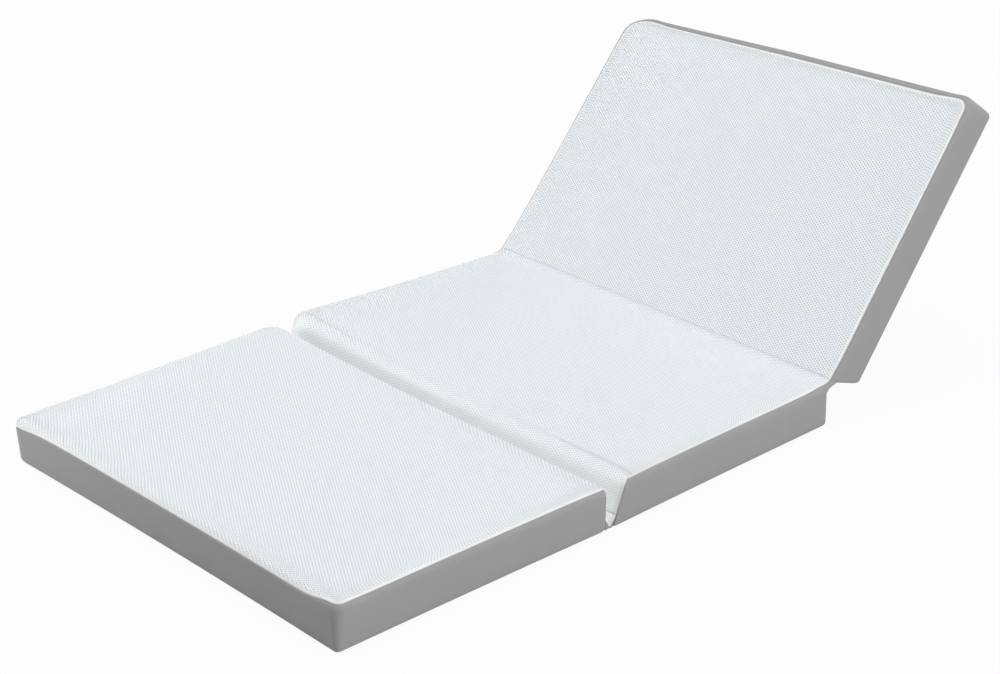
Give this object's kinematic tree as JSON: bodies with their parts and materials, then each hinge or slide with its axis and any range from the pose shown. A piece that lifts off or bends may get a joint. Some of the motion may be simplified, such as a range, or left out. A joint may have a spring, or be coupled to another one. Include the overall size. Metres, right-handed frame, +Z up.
{
  "type": "folding travel mattress",
  "caption": "Flat foam mattress in a white mesh and grey cloth cover, hinged in panels that fold in a Z, with its head panel raised.",
  "frame": {"origin": "on the floor, under the centre of the middle panel", "axes": "+X from the front panel to the raised rear panel, +Y to the long side with the zips, +Z up"},
  "size_m": [1.0934, 0.6042, 0.3649],
  "materials": {
    "air_mesh": "matte",
    "border_cloth": "matte",
    "foam": "matte",
    "zip_tape": "matte",
    "zip_coil": "satin",
    "zip_metal": "satin"
  },
  "bodies": {
    "middle_panel": {"middle_foam_core": "foam", "middle_mesh_top": "air_mesh", "middle_near_border": "border_cloth", "middle_far_border": "border_cloth", "middle_underside": "border_cloth", "middle_zip_upper_tape": "zip_tape", "middle_zip_lower_tape": "zip_tape", "middle_zip_coil": "zip_coil", "middle_zip_upper_end_stop": "zip_metal", "middle_zip_lower_end_stop": "zip_metal", "middle_zip_box_stop": "zip_metal", "lower_hinge_mesh": "air_mesh", "lower_hinge_cloth": "border_cloth", "upper_hinge_mesh": "air_mesh", "upper_hinge_cloth": "border_cloth"},
    "front_panel": {"front_foam_core": "foam", "front_mesh_top": "air_mesh", "front_border": "border_cloth", "front_underside": "border_cloth", "front_zip_upper_tape": "zip_tape", "front_zip_lower_tape": "zip_tape", "front_zip_coil": "zip_coil", "front_zip_upper_end_stop": "zip_metal", "front_zip_lower_end_stop": "zip_metal", "front_zip_box_stop": "zip_metal"},
    "rear_panel": {"rear_foam_core": "foam", "rear_mesh_top": "air_mesh", "rear_border": "border_cloth", "rear_underside": "border_cloth", "rear_zip_upper_tape": "zip_tape", "rear_zip_lower_tape": "zip_tape", "rear_zip_coil": "zip_coil", "rear_zip_upper_end_stop": "zip_metal", "rear_zip_lower_end_stop": "zip_metal", "rear_zip_box_stop": "zip_metal"},
    "front_zip_slider": {"front_zip_slider": "zip_metal"},
    "front_zip_pull": {"front_zip_pull": "zip_metal"},
    "middle_zip_slider": {"middle_zip_slider": "zip_metal"},
    "middle_zip_pull": {"middle_zip_pull": "zip_metal"},
    "rear_zip_slider": {"rear_zip_slider": "zip_metal"},
    "rear_zip_pull": {"rear_zip_pull": "zip_metal"}
  },
  "joints": [
    {"name": "front_fold", "type": "hinge", "parent": "middle_panel", "child": "front_panel", "pos_m": [-0.2, 0, -0.0002], "axis": [0, -1, 0], "range_deg": [-24, 180], "deforming": ["lower_hinge_mesh", "lower_hinge_cloth"]},
    {"name": "rear_fold", "type": "hinge", "parent": "middle_panel", "child": "rear_panel", "pos_m": [0.2, 0, 0.058], "axis": [0, -1, 0], "range_deg": [-74, 126], "deforming": ["upper_hinge_mesh", "upper_hinge_cloth"]},
    {"name": "front_zip_slide", "type": "slide", "parent": "front_panel", "child": "front_zip_slider", "axis": [1, 0, 0], "range_m": [0, 0.305], "deforming": ["front_zip_coil"]},
    {"name": "front_pull_swing", "type": "hinge", "parent": "front_zip_slider", "child": "front_zip_pull", "pos_m": [-0.5585, 0.3023, 0.0295], "axis": [0, 0, -1], "range_deg": [0, 180]},
    {"name": "middle_zip_slide", "type": "slide", "parent": "middle_panel", "child": "middle_zip_slider", "axis": [1, 0, 0], "range_m": [0, 0.305], "deforming": ["middle_zip_coil"]},
    {"name": "middle_pull_swing", "type": "hinge", "parent": "middle_zip_slider", "child": "middle_zip_pull", "pos_m": [-0.1545, 0.3023, 0.0295], "axis": [0, 0, -1], "range_deg": [0, 180]},
    {"name": "rear_zip_slide", "type": "slide", "parent": "rear_panel", "child": "rear_zip_slider", "axis": [0.6293, 0, 0.7771], "range_m": [0, 0.305], "deforming": ["rear_zip_coil"]},
    {"name": "rear_pull_swing", "type": "hinge", "parent": "rear_zip_slider", "child": "rear_zip_pull", "pos_m": [0.25078, 0.3023, 0.07543], "axis": [0.7771, 0, -0.6293], "range_deg": [0, 180]}
  ]
}
